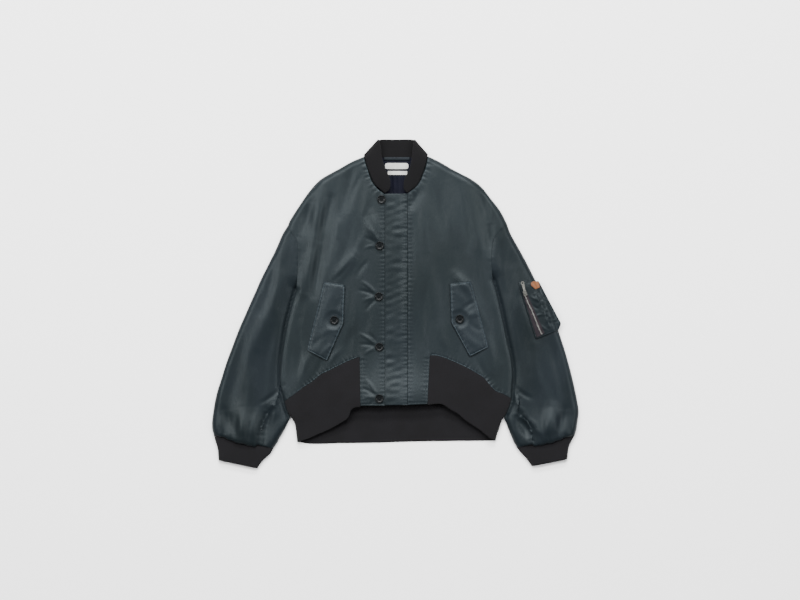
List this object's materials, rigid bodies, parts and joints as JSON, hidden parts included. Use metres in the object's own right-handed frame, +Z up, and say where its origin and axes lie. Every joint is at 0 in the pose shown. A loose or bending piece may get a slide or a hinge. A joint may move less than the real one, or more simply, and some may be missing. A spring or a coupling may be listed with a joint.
{
  "type": "bomber jacket",
  "caption": "Oversized bomber jacket, buttoned and laid flat: satin shell, rib collar, cuffs and curved hem, slanted flap pockets and a zipped utility pocket on the left sleeve.",
  "frame": {"origin": "middle of the jacket's footprint, on the surface it lies on", "axes": "+X to the wearer's left, +Y to the collar, +Z up from the surface through the back and the front"},
  "size_m": [0.8046, 0.7207, 0.0313],
  "materials": {
    "shell": "slate green-grey nylon satin with a soft lengthwise sheen",
    "sleeve_shell": "the same nylon satin, seen across its sheen",
    "flap_shell": "doubled nylon satin, edge stitched",
    "rib_knit": "matt black rib knit",
    "lining": "navy lining with a light sheen",
    "label_white": "blank white woven tape",
    "button_resin": "polished dark resin",
    "tan_leather": "tan vegetable-tanned leather with a cut edge",
    "zip_tape": "grey-brown woven zip tape",
    "zip_steel": "nickel-coloured zip metal"
  },
  "bodies": {
    "root": {"back_panel": "shell", "front_right": "shell", "front_left": "shell", "button_band": "shell", "sleeve_right": "sleeve_shell", "sleeve_left": "sleeve_shell", "cuff_right": "rib_knit", "cuff_left": "rib_knit", "hem_rib_right": "rib_knit", "hem_rib_left": "rib_knit", "hem_rib_back": "rib_knit", "collar": "rib_knit", "pocket_flap_right": "flap_shell", "pocket_flap_left": "flap_shell", "front_button_1": "button_resin", "front_button_2": "button_resin", "front_button_3": "button_resin", "front_button_4": "button_resin", "front_button_5": "button_resin", "flap_button_right": "button_resin", "flap_button_left": "button_resin", "back_lining": "lining", "neck_label": "label_white", "size_label": "label_white", "hang_loop": "shell", "sleeve_pocket": "flap_shell", "zip_tape": "zip_tape", "leather_tab": "tan_leather", "zip_slider": "zip_steel"},
    "zip_pull": {"zip_pull": "zip_steel"}
  },
  "joints": [
    {"name": "pull_swing", "type": "hinge", "parent": "root", "child": "zip_pull", "pos_m": [0.283, 0.023, 0.02597], "axis": [0.9737, 0.228, 0], "range_deg": [0, 150]}
  ]
}
